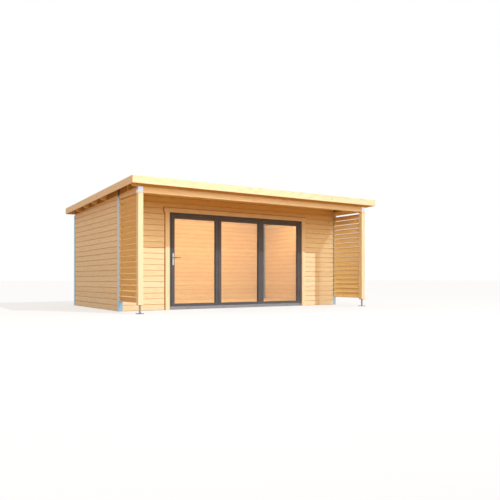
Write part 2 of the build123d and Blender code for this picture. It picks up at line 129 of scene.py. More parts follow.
lamp_data = bpy.data.lights.new("key_lamp", "SUN")
lamp_data.color = linear(lamp_colour)[:3]
lamp_data.energy = lamp_strength
lamp_data.angle = math.radians(lamp_angle)
lamp = bpy.data.objects.new("key_lamp", lamp_data)
lamp.rotation_euler = lamp_travel.to_track_quat("-Z", "Y").to_euler()
bpy.context.scene.collection.objects.link(lamp)


def soft_lamp(name, colour, power, size, place, aim):
    """A wide soft lamp that only sheds light: the camera, metal and glass don't show it."""
    data = bpy.data.lights.new(name, "AREA")
    data.shape = "RECTANGLE"
    data.size, data.size_y = size
    data.color = linear(colour)[:3]
    data.energy = power
    made = bpy.data.objects.new(name, data)
    made.location = place
    made.rotation_euler = (aim - place).to_track_quat("-Z", "Y").to_euler()
    made.visible_camera = False
    made.visible_glossy = False
    made.visible_transmission = False
    bpy.context.scene.collection.objects.link(made)


soft_lamp("fill_lamp", fill_colour, fill_power, fill_size, fill_place, fill_aim)

bpy.ops.object.select_all(action="DESELECT")
bpy.ops.mesh.primitive_plane_add(size=floor_size, location=(0, 0, -floor_drop))
studio_floor = bpy.context.object
studio_floor.name = "studio_floor"
floor_paint = bpy.data.materials.new("floor_paint")
floor_paint.use_nodes = True
tree = floor_paint.node_tree
tree.nodes.clear()
seen = straight_view(tree)
floor_tones = {0: seen, 6: linear(floor_bounce), 7: linear(floor_seen)}
tone = add_node(tree, "ShaderNodeMix", floor_tones, data_type="RGBA")
matt = add_node(tree, "ShaderNodeBsdfDiffuse", {"Color": tone.outputs[2]})
glow = add_node(tree, "ShaderNodeEmission", {"Color": linear(white), "Strength": 1})
share = add_node(tree, "ShaderNodeMath", {0: seen, 1: floor_glow}, operation="MULTIPLY")
both = add_node(tree, "ShaderNodeMixShader", {0: share.outputs[0], 1: matt.outputs[0], 2: glow.outputs[0]})
add_node(tree, "ShaderNodeOutputMaterial", {"Surface": both.outputs[0]})
studio_floor.data.materials.append(floor_paint)


# Room light: one warm lamp under the roof inside the room, just above the glass and out of sight. It
# lights the boards of the back wall, so that they show through the doors.
room_lamp_colour = "#FFBC82"
room_lamp_power = 64
room_lamp_size = (4.8, 0.3)
room_lamp_place = Vector((0, 0.3, 2.05))
room_lamp_aim = Vector((0, 2.0, 0.9))
soft_lamp("room_lamp", room_lamp_colour, room_lamp_power, room_lamp_size, room_lamp_place, room_lamp_aim)


# Floor joists: sawn spruce battens laid on the ground from front to back, which carry the floor boards.
# Walls and floor hide them, except from below, so they keep their straight sawn edges.
spruce_pale = "#F8EECA"
spruce_late = "#E2C48D"
spruce_knot = "#B47C46"
joint_shade_colour = "#C9863F"
board_tone = 0.20
board_shift = 9.0
ring_tone = 0.30
ring_width = 0.009
ring_gloss = 0.1
late_start = -0.2
figure_length = 1.6
figure_width = 0.11
figure_detail = 1.5
fibre_tone = 0.26
fibre_length = 0.14
fibre_width = 0.003
fibre_detail = 2
fibre_relief = 0.5
knot_tone = 0.75
knot_spacing = 0.17
knot_stretch = 0.6
knot_radius = 0.016
knot_share = 0.45
joint_shade_tone = 0.34
joint_shade_width = 0.012
timber_roughness = 0.62
timber_sheen = 0.2
grain_depth = 0.0006
grain_strength = 0.25


def spruce(name, grain, stack, board_width, first=0.0, shaded_joints=False, stain_and_shade=white):
    """Planed spruce, unfinished: pale wood with warm late-wood lines along the grain, small brown knots,
    and a slightly different tone from board to board. grain and stack are axes: along a board, and from
    one board to the next, where first is a joint. Boards with shaded joints get painted shade: a deeper
    brown in their joints. A stain tints all of the wood; on the eaves fillers that tint is painted shade."""
    material = bpy.data.materials.new(name)
    material.use_nodes = True
    tree = material.node_tree
    shader = tree.nodes["Principled BSDF"]
    shader.inputs["Specular IOR Level"].default_value = timber_sheen
    place = add_node(tree, "ShaderNodeTexCoord")
    split = add_node(tree, "ShaderNodeSeparateXYZ", {0: place.outputs["Object"]})
    along = split.outputs["XYZ".index(grain)]
    over = split.outputs["XYZ".index(stack)]
    through = split.outputs[3 - "XYZ".index(grain) - "XYZ".index(stack)]

    # Each board starts at its own place in the pattern, by its number in the stack
    rows = add_node(tree, "ShaderNodeMath", {0: over, 1: first}, operation="SUBTRACT")
    rows = add_node(tree, "ShaderNodeMath", {0: rows.outputs[0], 1: board_width}, operation="DIVIDE")
    row = add_node(tree, "ShaderNodeMath", {0: rows.outputs[0]}, operation="FLOOR")
    chance = add_node(tree, "ShaderNodeTexWhiteNoise", {"W": row.outputs[0]}, noise_dimensions="1D")
    shift = {0: chance.outputs["Value"], 1: board_shift, 2: along}
    start = add_node(tree, "ShaderNodeMath", shift, operation="MULTIPLY_ADD")
    spot = add_node(tree, "ShaderNodeCombineXYZ", {0: start.outputs[0], 1: over, 2: through}).outputs[0]

    # Growth rings are the contours of a slow noise, which gives the arched figure of a flat-sawn board.
    # They and the fibres are drawn wider than real ones, so that they show.
    figure_scale = (1 / figure_length, 1 / figure_width, 1 / figure_width)
    figure_spot = add_node(tree, "ShaderNodeVectorMath", {0: spot, 1: figure_scale}, operation="MULTIPLY")
    figure_look = {"Vector": figure_spot.outputs[0], "Scale": 1, "Detail": figure_detail}
    figure = add_node(tree, "ShaderNodeTexNoise", figure_look)
    ring_turns = 2 * math.pi * figure_width / ring_width
    ring = add_node(tree, "ShaderNodeMath", {0: figure.outputs[0], 1: ring_turns}, operation="MULTIPLY")
    ring = add_node(tree, "ShaderNodeMath", {0: ring.outputs[0]}, operation="SINE")
    late = add_node(tree, "ShaderNodeMapRange", {0: ring.outputs[0], 1: late_start})

    # Fibres are short fine streaks
    fibre_scale = (1 / fibre_length, 1 / fibre_width, 1 / fibre_width)
    fibre_spot = add_node(tree, "ShaderNodeVectorMath", {0: spot, 1: fibre_scale}, operation="MULTIPLY")
    fibre_look = {"Vector": fibre_spot.outputs[0], "Scale": 1, "Detail": fibre_detail}
    fibre = add_node(tree, "ShaderNodeTexNoise", fibre_look)

    # Knots are balls in the wood that the surface cuts through, a little longer with the grain
    knot_scale = (knot_stretch / knot_spacing, 1 / knot_spacing, 1 / knot_spacing)
    knot_spot = add_node(tree, "ShaderNodeVectorMath", {0: spot, 1: knot_scale}, operation="MULTIPLY")
    knots = add_node(tree, "ShaderNodeTexVoronoi", {"Vector": knot_spot.outputs[0], "Scale": 1})
    rim = knot_radius / knot_spacing
    core = rim / 2
    knot = add_node(tree, "ShaderNodeMapRange", {0: knots.outputs["Distance"], 1: rim, 2: core})
    number = add_node(tree, "ShaderNodeSeparateColor", {0: knots.outputs["Color"]})
    chosen = add_node(tree, "ShaderNodeMath", {0: number.outputs[0], 1: knot_share}, operation="LESS_THAN")
    for share in (chosen.outputs[0], knot_tone):
        knot = add_node(tree, "ShaderNodeMath", {0: knot.outputs[0], 1: share}, operation="MULTIPLY")

    tone = add_node(tree, "ShaderNodeMath", {0: late.outputs[0], 1: ring_tone}, operation="MULTIPLY")
    for pattern, strength in ((fibre.outputs[0], fibre_tone), (chance.outputs["Value"], board_tone)):
        more = {0: pattern, 1: strength, 2: tone.outputs[0]}
        tone = add_node(tree, "ShaderNodeMath", more, operation="MULTIPLY_ADD")
    wood_tones = {0: tone.outputs[0], 6: linear(spruce_pale), 7: linear(spruce_late)}
    wood = add_node(tree, "ShaderNodeMix", wood_tones, data_type="RGBA")
    knot_tones = {0: knot.outputs[0], 6: wood.outputs[2], 7: linear(spruce_knot)}
    wood = add_node(tree, "ShaderNodeMix", knot_tones, data_type="RGBA")
    # Painted shade: the joints are drawn a deeper brown, for the shade in the V between boards
    if shaded_joints:
        # How far the nearest joint is, in boards: 0 at a joint and half in the middle of a board
        away = add_node(tree, "ShaderNodeMath", {0: rows.outputs[0], 1: 0.5}, operation="PINGPONG")
        fade = {0: away.outputs[0], 1: 0.0, 2: joint_shade_width / board_width, 3: joint_shade_tone, 4: 0.0}
        edge = add_node(tree, "ShaderNodeMapRange", fade)
        joint_shade_tones = {0: edge.outputs[0], 6: wood.outputs[2], 7: linear(joint_shade_colour)}
        wood = add_node(tree, "ShaderNodeMix", joint_shade_tones, data_type="RGBA")
    # A stain multiplies the wood's colour: oil on the slats, painted shade on the eaves fillers
    if stain_and_shade != white:
        tinted_wood = {0: 1.0, 6: wood.outputs[2], 7: linear(stain_and_shade)}
        wood = add_node(tree, "ShaderNodeMix", tinted_wood, data_type="RGBA", blend_type="MULTIPLY")
    tree.links.new(wood.outputs[2], shader.inputs["Base Color"])
    gloss = {0: late.outputs[0], 3: timber_roughness, 4: timber_roughness - ring_gloss}
    rough = add_node(tree, "ShaderNodeMapRange", gloss)
    tree.links.new(rough.outputs[0], shader.inputs["Roughness"])
    height = {0: fibre.outputs[0], 1: fibre_relief, 2: late.outputs[0]}
    relief = add_node(tree, "ShaderNodeMath", height, operation="MULTIPLY_ADD")
    raised = {"Height": relief.outputs[0], "Strength": grain_strength, "Distance": grain_depth}
    bump = add_node(tree, "ShaderNodeBump", raised)
    tree.links.new(bump.outputs[0], shader.inputs["Normal"])
    return material


def paint(node, material):
    """A finish on a CAD piece that is shown as it is."""
    for place in nodes[node].material_slots:
        place.material = material


timber_width = 0.19
timber_deep = spruce("planed_spruce_front_to_back", "Y", "X", timber_width)
paint("floor_joists", timber_deep)


# Floor boards: tongued spruce boards nailed across the joists, side by side from front to back.
# Their long edges are eased, so that the floor shows a fine joint between boards.
floor_board_width = 0.114
floor_board_easing = 0.003
parallel = 0.99


def block(name, low, high):
    """A rectangular blank between two corners, with its place in its mesh."""
    bpy.ops.object.select_all(action="DESELECT")
    middle = [(a + b) / 2 for a, b in zip(low, high)]
    bpy.ops.mesh.primitive_cube_add(size=1, location=middle)
    piece = bpy.context.object
    piece.name = name
    piece.scale = [b - a for a, b in zip(low, high)]
    bpy.ops.object.transform_apply(location=True, rotation=True, scale=True)
    return piece


def open_up(piece, kind, test):
    """Edit mode on one piece, with only those of its edges or faces selected that pass a test."""
    bpy.ops.object.select_all(action="DESELECT")
    piece.select_set(True)
    bpy.context.view_layer.objects.active = piece
    bpy.ops.object.mode_set(mode="EDIT")
    bpy.ops.mesh.select_mode(type={"edges": "EDGE", "faces": "FACE"}[kind])
    bpy.ops.mesh.select_all(action="DESELECT")
    mesh = bmesh.from_edit_mesh(piece.data)
    for item in getattr(mesh, kind):
        if test(item):
            item.select_set(True)
    bmesh.update_edit_mesh(piece.data)


def close_up():
    """Back to object mode."""
    bpy.ops.object.mode_set(mode="OBJECT")


def runs(axis):
    """A test for edges that run along an axis."""
    way = Vector([float(letter == axis) for letter in "XYZ"])
    return lambda edge: abs((edge.verts[1].co - edge.verts[0].co).normalized().dot(way)) > parallel


def ease(piece, width, steps, test):
    """Selected edges taken off, in one flat or in a small round of several steps."""
    open_up(piece, "edges", test)
    bpy.ops.mesh.bevel(offset=width, segments=steps, affect="EDGES")
    close_up()


def repeat(piece, count, step):
    """A row of copies of a piece, made one mesh."""
    row = piece.modifiers.new("row", "ARRAY")
    row.count = count
    row.use_relative_offset = False
    row.use_constant_offset = True
    row.constant_offset_displace = step
    bpy.context.view_layer.objects.active = piece
    bpy.ops.object.modifier_apply(modifier=row.name)


def saw(piece, point, normal):
    """Cuts off what lies beyond a plane, and closes the cut."""
    open_up(piece, "faces", lambda face: True)
    bpy.ops.mesh.bisect(plane_co=point, plane_no=normal, use_fill=True, clear_outer=True)
    close_up()


def fit(piece, material, body, slot, *stands_for):
    """The finish of a finished piece, the body it rides on and the CAD pieces it stands for."""
    piece.data.materials.clear()
    piece.data.materials.append(material)
    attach(piece, body)
    if stands_for:
        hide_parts(*stands_for)


low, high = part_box("floor_boards")
floor_boards = block("floor_board_row", low, (high.x, low.y + floor_board_width, high.z))
ease(floor_boards, floor_board_easing, 1, runs("X"))
repeat(floor_boards, math.ceil((high.y - low.y) / floor_board_width), (0, floor_board_width, 0))
saw(floor_boards, high, (0, 1, 0))
floor_spruce = spruce("spruce_floor_boards", "X", "Y", floor_board_width, low.y)
fit(floor_boards, floor_spruce, "pod", "spruce_deck", "floor_boards")


# Walls: solid spruce log boards, tongued and stacked on edge, with their ends held in the corner posts.
# The long edges are chamfered on both faces, so that each joint is a V, and the top board is sawn to the
# roof's slope.
wall_board_width = 0.114
wall_board_chamfer = 0.007
wall_joint_gap = 0.0025
tongue_shoulder = 0.014
tongue_height = 0.008
groove_room = 0.0005
rounding_room = 1e-6


def top_slope(node):
    """A point on a sloping top, and the direction square to it, from the CAD piece's front and back."""
    low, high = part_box(node)
    corners = [v.co for v in nodes[node].data.vertices]
    middle = (low.y + high.y) / 2
    front = max((c for c in corners if c.y < middle), key=lambda c: (c.z, -c.y))
    back = max((c for c in corners if c.y > middle), key=lambda c: (c.z, c.y))
    return front, Vector((0, front.z - back.z, back.y - front.y)).normalized()


def board_wall(node, grain, material):
    """The boards of one wall, from the first whole board under its foot to the sloping cut at its top."""
    low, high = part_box(node)
    first = math.floor(low.z / wall_board_width + rounding_room) * wall_board_width
    board_top = first + wall_board_width - wall_joint_gap
    wall = block(node + "_boards", (low.x, low.y, first), (high.x, high.y, board_top))
    ease(wall, wall_board_chamfer, 1, runs(grain))
    open_up(wall, "faces", lambda face: face.normal.z > parallel)
    bpy.ops.mesh.inset(thickness=tongue_shoulder)
    tongue = (0, 0, tongue_height + wall_joint_gap)
    bpy.ops.mesh.extrude_region_move(TRANSFORM_OT_translate={"value": tongue})
    close_up()
    open_up(wall, "faces", lambda face: face.normal.z < -parallel)
    bpy.ops.mesh.inset(thickness=tongue_shoulder - groove_room)
    groove = (0, 0, tongue_height + groove_room)
    bpy.ops.mesh.extrude_region_move(TRANSFORM_OT_translate={"value": groove})
    close_up()
    repeat(wall, math.ceil((high.z - first) / wall_board_width), (0, 0, wall_board_width))
    saw(wall, *top_slope(node))
    if low.z > first:
        saw(wall, low, (0, 0, -1))
    fit(wall, material, "pod", "spruce_boards", node)


side_spruce = spruce("spruce_side_wall_boards", "Y", "Z", wall_board_width, shaded_joints=True)
long_spruce = spruce("spruce_long_wall_boards", "X", "Z", wall_board_width, shaded_joints=True)
for node in ("left_wall", "right_wall"):
    board_wall(node, "Y", side_spruce)
for node in ("back_wall", "front_wall_left", "front_wall_right", "front_wall_over_door"):
    board_wall(node, "X", long_spruce)


# Corner posts: hollow aluminium extrusions that stand at the four corners, with a groove on two sides for
# the boards' ends. The metal is bare, with a blue tint that is a painted reflection of a blue sky, and
# with the upright lines of the die, which are drawn wider than real ones, so that they show.
# Painted reflection: the blue in this colour stands for a blue sky seen in the metal
sky_blue_aluminium_colour = "#A9C6D6"
aluminium_roughness = 0.46
die_line_width = 0.004
die_line_length = 0.6
line_detail = 3
line_dull = 0.82
line_gloss = 0.08
line_relief = 0.0003
line_strength = 0.1
metal_easing = 0.0012
sharp_angle = 40
smooth_angle = 35
flat_angle = 1
merge_gap = 0.00002


def bare_metal(name, colour, roughness, line_scale):
    """Bare metal with fine lines one way: a satin sheen, a little brighter and duller from line to line."""
    material = bpy.data.materials.new(name)
    material.use_nodes = True
    tree = material.node_tree
    shader = tree.nodes["Principled BSDF"]
    shader.inputs["Metallic"].default_value = 1
    place = add_node(tree, "ShaderNodeTexCoord").outputs["Object"]
    spot = add_node(tree, "ShaderNodeVectorMath", {0: place, 1: line_scale}, operation="MULTIPLY")
    line_look = {"Vector": spot.outputs[0], "Scale": 1, "Detail": line_detail}
    lines = add_node(tree, "ShaderNodeTexNoise", line_look).outputs[0]
    dull = [c * line_dull for c in linear(colour)[:3]] + [1]
    tone = add_node(tree, "ShaderNodeMix", {0: lines, 6: dull, 7: linear(colour)}, data_type="RGBA")
    tree.links.new(tone.outputs[2], shader.inputs["Base Color"])
    gloss = {0: lines, 3: roughness - line_gloss, 4: roughness + line_gloss}
    rough = add_node(tree, "ShaderNodeMapRange", gloss)
    tree.links.new(rough.outputs[0], shader.inputs["Roughness"])
    raised = {"Height": lines, "Strength": line_strength, "Distance": line_relief}
    bump = add_node(tree, "ShaderNodeBump", raised)
    tree.links.new(bump.outputs[0], shader.inputs["Normal"])
    return material


def sharp(edge):
    """A test for the edges between two faces that meet at a clear angle."""
    return edge.calc_face_angle(0) > math.radians(sharp_angle)


def eased_copy(node, name, width, steps=2, test=sharp):
    """A copy of a CAD piece, merged, with its sharp edges eased as planing or a die leaves them, and with
    its flat faces shaded flat."""
    piece = bpy.data.objects.new(name, nodes[node].data.copy())
    bpy.context.scene.collection.objects.link(piece)
    open_up(piece, "faces", lambda face: True)
    bpy.ops.mesh.customdata_custom_splitnormals_clear()
    bpy.ops.mesh.remove_doubles(threshold=merge_gap)
    bpy.ops.mesh.dissolve_limited(angle_limit=math.radians(flat_angle))
    close_up()
    if width:
        ease(piece, width, steps, test)
    open_up(piece, "faces", lambda face: True)
    bpy.ops.mesh.normals_make_consistent(inside=False)
    close_up()
    bpy.ops.object.shade_smooth_by_angle(angle=math.radians(smooth_angle))
    flats = piece.modifiers.new("flats", "WEIGHTED_NORMAL")
    flats.keep_sharp = True
    bpy.ops.object.modifier_apply(modifier=flats.name)
    return piece


upright_lines = (1 / die_line_width, 1 / die_line_width, 1 / die_line_length)
sky_blue_upright_aluminium = bare_metal("sky_blue_extruded_aluminium", sky_blue_aluminium_colour, aluminium_roughness, upright_lines)
for node in ("front_corner_posts", "back_corner_posts"):
    posts = eased_copy(node, node + "_metal", metal_easing)
    fit(posts, sky_blue_upright_aluminium, "pod", "bare_aluminium", node)


# Post feet: galvanised steel plates with a stem, bolted to the ground through four holes, which hold the
# canopy posts clear of wet. Hot zinc leaves a dull grey skin with faint crystals.
zinc_colour = "#8F8C93"
zinc_pale = "#A9A8AC"
zinc_crystal = 0.012
zinc_metallic = 0.85
crystal_roughness = (0.42, 0.6)
foot_easing = 0.001
plate_side = 0.12
plate_thickness = 0.008
bolt_inset = 0.016
bolt_across = 0.017
bolt_height = 0.0075
bolt_chamfer = 0.0014
washer_radius = 0.0115
washer_height = 0.002
washer_easing = 0.0004

zinc_steel = bpy.data.materials.new("galvanised_steel")
zinc_steel.use_nodes = True
tree = zinc_steel.node_tree
shader = tree.nodes["Principled BSDF"]
shader.inputs["Metallic"].default_value = zinc_metallic
place = add_node(tree, "ShaderNodeTexCoord").outputs["Object"]
crystals = add_node(tree, "ShaderNodeTexVoronoi", {"Vector": place, "Scale": 1 / zinc_crystal})
number = add_node(tree, "ShaderNodeSeparateColor", {0: crystals.outputs["Color"]})
zinc_tones = {0: number.outputs[0], 6: linear(zinc_colour), 7: linear(zinc_pale)}
tone = add_node(tree, "ShaderNodeMix", zinc_tones, data_type="RGBA")
tree.links.new(tone.outputs[2], shader.inputs["Base Color"])
gloss = {0: number.outputs[1], 3: crystal_roughness[0], 4: crystal_roughness[1]}
rough = add_node(tree, "ShaderNodeMapRange", gloss)
tree.links.new(rough.outputs[0], shader.inputs["Roughness"])


def turned(name, place, way, radius, length, sides=24):
    """A round bar, or a prism of few sides, that starts at a place and runs one way."""
    way = Vector(way)
    bpy.ops.object.select_all(action="DESELECT")
    bpy.ops.mesh.primitive_cylinder_add(
        vertices=sides, radius=radius, depth=length, location=Vector(place) + way * length / 2,
        rotation=way.to_track_quat("Z", "Y").to_euler())
    piece = bpy.context.object
    piece.name = name
    bpy.ops.object.transform_apply(location=True, rotation=True, scale=True)
    return piece


def join(pieces):
    """Several finished blanks as one mesh, in the first one's name."""
    bpy.ops.object.select_all(action="DESELECT")
    for piece in pieces:
        piece.select_set(True)
    bpy.context.view_layer.objects.active = pieces[0]
    bpy.ops.object.join()
    return pieces[0]


fit(eased_copy("post_feet", "post_feet_steel", foot_easing), zinc_steel, "pod", "zinc_steel", "post_feet")

low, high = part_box("post_feet")
washer_place = Vector((low.x + bolt_inset, low.y + bolt_inset, plate_thickness))
washer = turned("foot_bolts", washer_place, (0, 0, 1), washer_radius, washer_height)
ease(washer, washer_easing, 1, sharp)
bolt_place = washer_place + Vector((0, 0, washer_height))
bolt_top = plate_thickness + washer_height + bolt_height
# The radius of a hexagon's corners, from its width across the flats
bolt_radius = bolt_across / math.sqrt(3)
bolt_head = turned("bolt_head", bolt_place, (0, 0, 1), bolt_radius, bolt_height, sides=6)
ease(bolt_head, bolt_chamfer, 1, lambda edge: min(v.co.z for v in edge.verts) > bolt_top - bolt_chamfer)
bolts = join([washer, bolt_head])
hole_spacing = plate_side - 2 * bolt_inset
repeat(bolts, 2, (hole_spacing, 0, 0))
repeat(bolts, 2, (0, hole_spacing, 0))
repeat(bolts, 2, (high.x - low.x - plate_side, 0, 0))
fit(bolts, zinc_steel, "pod", "zinc_steel")


# Canopy posts: square planed spruce, one under each end of the front beam, with eased edges.
# A stile of the same timber stands against each front corner post and takes the other ends of the slats.
post_easing = 0.002
stile_easing = 0.001


def squared(edge):
    """A test for the edges of a squared timber, which leaves the sloping housings in its face sharp."""
    return sharp(edge) and all(max(abs(c) for c in face.normal) > parallel for face in edge.link_faces)


timber_upright = spruce("planed_spruce_upright", "Z", "X", timber_width)
posts = eased_copy("front_posts", "canopy_posts", post_easing, test=squared)
fit(posts, timber_upright, "pod", "spruce_planed", "front_posts")
stiles = eased_copy("screen_stiles", "screen_stile_strips", stile_easing, test=squared)
fit(stiles, timber_upright, "pod", "spruce_planed", "screen_stiles")


# Post heads: cast aluminium connectors between each canopy post and the corner of the beams, square like
# the post. They are left bare, which gives a bright satin face.
head_colour = "#FAFDFF"
head_roughness = 0.3
head_easing = 0.002
head_aluminium = bare_metal("cast_aluminium", head_colour, head_roughness, upright_lines)
heads = eased_copy("post_heads", "post_head_caps", head_easing)
fit(heads, head_aluminium, "pod", "bare_aluminium", "post_heads")


# Beams: planed spruce, one across the front over the posts and one back to the room on each side. They
# meet at the post heads and carry the roof over the canopy, and their edges are eased.
beam_easing = 0.004
timber_long = spruce("planed_spruce_side_to_side", "X", "Y", timber_width)
front_beam = eased_copy("front_beam", "front_beam_timber", beam_easing)
fit(front_beam, timber_long, "pod", "spruce_planed", "front_beam")
side_beams = eased_copy("side_beams", "side_beam_timbers", beam_easing)
fit(side_beams, timber_deep, "pod", "spruce_planed", "side_beams")


# Screens: thin planed spruce slats from post to stile, tilted so that their outer edges are high, let
# into shallow housings at both ends. They are oiled, which warms the colour of the wood.
slat_easing = 0.0015
slat_oil = "#FFF6DC"
slat_spruce = spruce("oiled_spruce_slats", "Y", "X", timber_width, stain_and_shade=slat_oil)
for side in ("left", "right"):
    node = side + "_screen_slats"
    fit(eased_copy(node, side + "_louvres", slat_easing), slat_spruce, "pod", "spruce_planed", node)


# Purlins and eaves fillers: planed spruce joists across the room, with ends cut back on the slope, and
# boards that close the gaps between them over the side walls. The fillers are tinted a darker brown,
# which is painted shade for the deep gaps between the purlin ends.
purlin_easing = 0.003
filler_easing = 0.002
# Painted shade: this brown tint darkens the fillers between the purlin ends
filler_shade_tint = "#BFB3A6"
purlins = eased_copy("purlins", "roof_purlins", purlin_easing)
fit(purlins, timber_long, "pod", "spruce_planed", "purlins")
shaded_filler_spruce = spruce("shade_darkened_filler_spruce", "Y", "X", timber_width, stain_and_shade=filler_shade_tint)
fillers = eased_copy("eaves_fillers", "eaves_filler_boards", filler_easing)
fit(fillers, shaded_filler_spruce, "pod", "spruce_boards", "eaves_fillers")


# Roof boards: tongued spruce boards nailed from front to back on the purlins. They show from below, with
# a fine V joint between boards.
roof_board_width = 0.114
roof_board_chamfer = 0.004


def roof_fall(node):
    """How much a sloping roof layer drops for each metre from front to back."""
    slope = top_slope(node)[1]
    return slope.y / slope.z


def sloping_strip(name, node, width):
    """A blank along the left edge of a roof layer, as thick as the layer and with the same fall."""
    low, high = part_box(node)
    fall = roof_fall(node) * (high.y - low.y)
    strip = block(name, (low.x, low.y, low.z + fall), (low.x + width, high.y, high.z))
    open_up(strip, "faces", lambda face: face.normal.y > parallel)
    bpy.ops.transform.translate(value=(0, 0, -fall))
    close_up()
    return strip


low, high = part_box("roof_boards")
roof_boards = sloping_strip("roof_board_row", "roof_boards", roof_board_width)
ease(roof_boards, roof_board_chamfer, 1, runs("Y"))
repeat(roof_boards, math.ceil((high.x - low.x) / roof_board_width), (roof_board_width, 0, 0))
saw(roof_boards, high, (1, 0, 0))
roof_spruce = spruce("spruce_roof_boards", "Y", "X", roof_board_width, low.x)
fit(roof_boards, roof_spruce, "pod", "spruce_deck", "roof_boards")


# Corner seals: blocks of dark foam on top of the front corner posts, which close the slot beside the
# beam's end against wind. Their dark colour is painted shade: they sit back from the wall's face, so the
# slot shows as a dark recess.
# Painted shade: these near-black tones make the slot over each corner post dark
seal_shade_colour = "#231C17"
seal_shade_pale = "#2E2620"
foam_cell = 0.003
foam_roughness = 0.95
foam_relief = 0.0008
cloud_share = 100
cloud_detail = 3
grit_detail = 2
grit_strength = 0.3
grit_range = (0.6, 1.4)
seal_set_back = 0.02
seal_width = 0.038
seal_room = 0.001
seal_easing = 0.003
seal_steps = 2


def speckled(name, colour, pale, grain, roughness, depth, gloss=0.5):
    """A dull moulded or coated surface: two close tones in a fine grain and in slow clouds a hundred times
    as wide, with the fine grain in relief. The grain is coarser than a real one, so that it shows."""
    material = bpy.data.materials.new(name)
    material.use_nodes = True
    tree = material.node_tree
    shader = tree.nodes["Principled BSDF"]
    shader.inputs["Roughness"].default_value = roughness
    shader.inputs["Specular IOR Level"].default_value = gloss
    place = add_node(tree, "ShaderNodeTexCoord").outputs["Object"]
    grit_look = {"Vector": place, "Scale": 1 / grain, "Detail": grit_detail}
    grit = add_node(tree, "ShaderNodeTexNoise", grit_look)
    cloud_look = {"Vector": place, "Scale": 1 / (cloud_share * grain), "Detail": cloud_detail}
    cloud = add_node(tree, "ShaderNodeTexNoise", cloud_look)
    tone = add_node(tree, "ShaderNodeMath", {0: grit.outputs[0], 1: cloud.outputs[0]}, operation="ADD")
    tone = add_node(tree, "ShaderNodeMapRange", {0: tone.outputs[0], 1: grit_range[0], 2: grit_range[1]})
    tones = {0: tone.outputs[0], 6: linear(colour), 7: linear(pale)}
    tone = add_node(tree, "ShaderNodeMix", tones, data_type="RGBA")
    tree.links.new(tone.outputs[2], shader.inputs["Base Color"])
    raised = {"Height": grit.outputs[0], "Strength": grit_strength, "Distance": depth}
    bump = add_node(tree, "ShaderNodeBump", raised)
    tree.links.new(bump.outputs[0], shader.inputs["Normal"])
    return material


post_low, post_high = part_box("front_corner_posts")
roof_low, roof_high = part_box("roof_boards")
seal_top = roof_low.z + roof_fall("roof_boards") * (roof_high.y - post_high.y) - seal_room
seals = block(
    "corner_seals",
    (post_low.x + seal_set_back, post_low.y + seal_room, post_high.z),
    (post_low.x + seal_set_back + seal_width, post_high.y - seal_room, seal_top))
ease(seals, seal_easing, seal_steps, sharp)
repeat(seals, 2, (post_high.x - post_low.x - 2 * seal_set_back - seal_width, 0, 0))
foam = speckled("shade_dark_sealing_foam", seal_shade_colour, seal_shade_pale, foam_cell, foam_roughness, foam_relief)
fit(seals, foam, "pod", "roof_membrane")


# Roof membrane: mineral roofing sheet in strips a metre wide, rolled out from front to back over the
# boards, dull and dark grey with grit. Each strip laps over the next one and is welded down along the lap.
membrane_colour = "#4A4C4E"
membrane_pale = "#686A6B"
membrane_grit = 0.008
membrane_roughness = 0.9
membrane_relief = 0.001
sheet_width = 1.0
sheet_lap = 0.08
sheet_ramp = 0.006

low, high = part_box("roof_membrane")
sheet_thickness = high.z - low.z - roof_fall("roof_membrane") * (high.y - low.y)
sheets = sloping_strip("roofing_sheets", "roof_membrane", sheet_width + sheet_ramp + sheet_lap)
lap_start = low.x + sheet_width + sheet_ramp
for line in (lap_start - sheet_ramp, lap_start):
    open_up(sheets, "faces", lambda face: True)
    bpy.ops.mesh.bisect(plane_co=(line, 0, 0), plane_no=(1, 0, 0))
    close_up()
open_up(sheets, "faces", lambda face: face.calc_center_median().x > lap_start)
bpy.ops.transform.translate(value=(0, 0, sheet_thickness))
close_up()
repeat(sheets, math.ceil((high.x - low.x) / (sheet_width + sheet_ramp)), (sheet_width + sheet_ramp, 0, 0))
saw(sheets, high, (1, 0, 0))
membrane_felt = speckled(
    "mineral_roofing_sheet", membrane_colour, membrane_pale, membrane_grit, membrane_roughness,
    membrane_relief)
fit(sheets, membrane_felt, "pod", "roof_membrane", "roof_membrane")


# Fascias: planed spruce boards round the roof's edge, standing a little above the sheet so that it can't
# blow off. Each is held by two rows of stainless screws, bright dots that are driven almost flush. Their
# brush lines are drawn wider than real ones, so that they show.
fascia_easing = 0.003
fascia_height = 0.134
screw_colour = "#B9BABB"
screw_roughness = 0.35
screw_spacing = 0.6
screw_edge = 0.03
screw_radius = 0.0045
screw_proud = 0.0009
screw_sides = 16
screw_rim = 0.0012
screw_wall = 0.0004
screw_recess = 0.0006
brush_width = 0.0008
brush_length = 0.03
long_brush = (1 / brush_length, 1 / brush_width, 1 / brush_width)
screw_steel = bare_metal("stainless_screws", screw_colour, screw_roughness, long_brush)


def screw_line(name, way, start, end, second_row=None):
    """Screw heads in a line on a board that faces one way, at even steps, in one row or in two."""
    head = turned(name, start, way, screw_radius, screw_proud, screw_sides)
    open_up(head, "faces", lambda face: face.normal.dot(Vector(way)) > parallel)
    bpy.ops.mesh.inset(thickness=screw_rim)
    bpy.ops.mesh.inset(thickness=screw_wall, depth=-screw_recess)
    close_up()
    if second_row:
        repeat(head, 2, second_row)
    steps = math.ceil((end - start).length / screw_spacing)
    repeat(head, steps + 1, (end - start) / steps)
    fit(head, screw_steel, "pod", "satin_steel")


